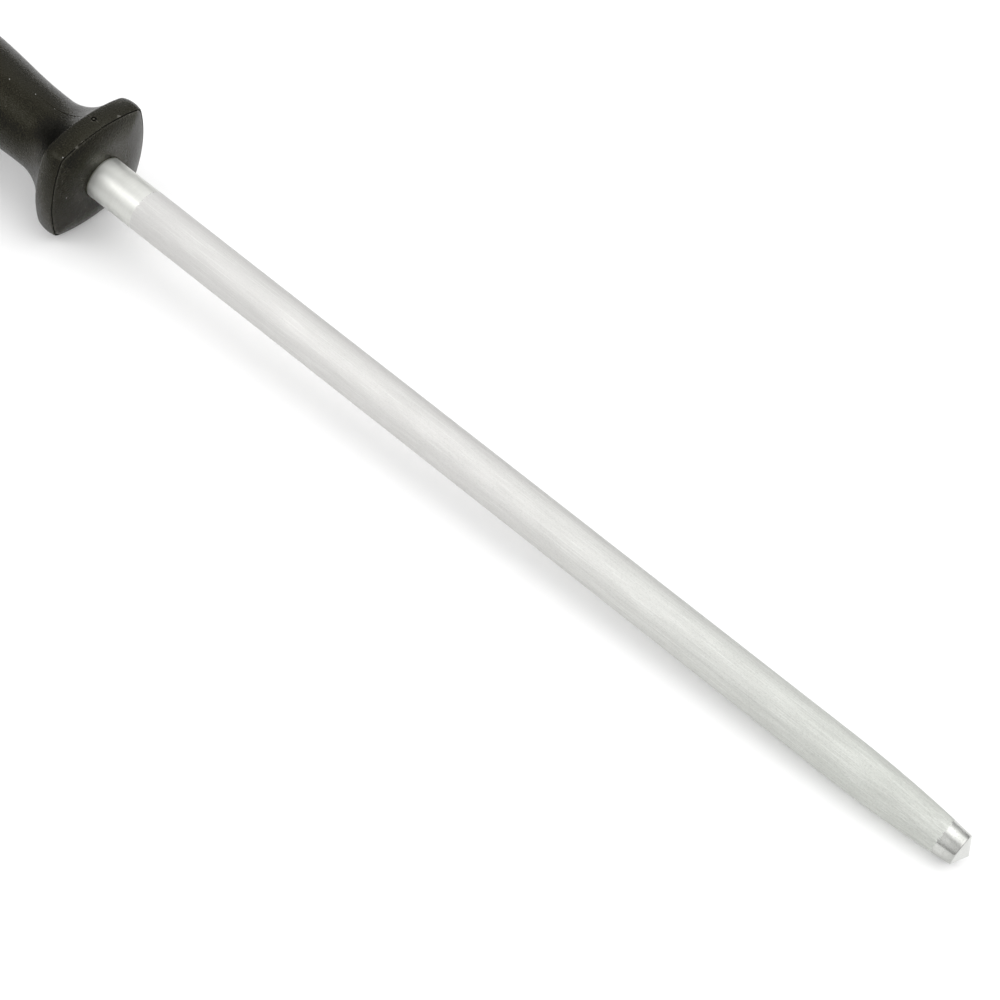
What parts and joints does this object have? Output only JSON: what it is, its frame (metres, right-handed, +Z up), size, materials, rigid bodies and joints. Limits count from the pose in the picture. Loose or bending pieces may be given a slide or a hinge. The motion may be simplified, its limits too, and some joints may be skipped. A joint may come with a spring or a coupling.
{
  "type": "knife sharpening steel",
  "caption": "Round butcher's sharpening steel: long ridged rod with a blunt tip, black moulded handle with a square guard, and a wire hanging ring through the butt.",
  "frame": {"origin": "on the surface that the steel lies on, under the centre of its box", "axes": "+X towards the tip, +Y across the tool, +Z up; the rod's axis runs in the XZ plane, 2.54 degrees nose down"},
  "size_m": [0.4476, 0.0372, 0.0375],
  "materials": {
    "rod_steel": "satin chromed, finely ridged along its length, polished at both ends",
    "handle_plastic": "fine-textured black polypropylene",
    "ring_wire": "bright drawn wire"
  },
  "bodies": {
    "steel": {"sharpening_rod": "rod_steel", "handle": "handle_plastic"},
    "ring": {"hanging_ring": "ring_wire"}
  },
  "joints": [
    {"name": "ring_swing", "type": "hinge", "parent": "steel", "child": "ring", "pos_m": [-0.20014, 0, 0.02384], "axis": [0, 1, 0], "range_deg": [-105, 200]}
  ]
}
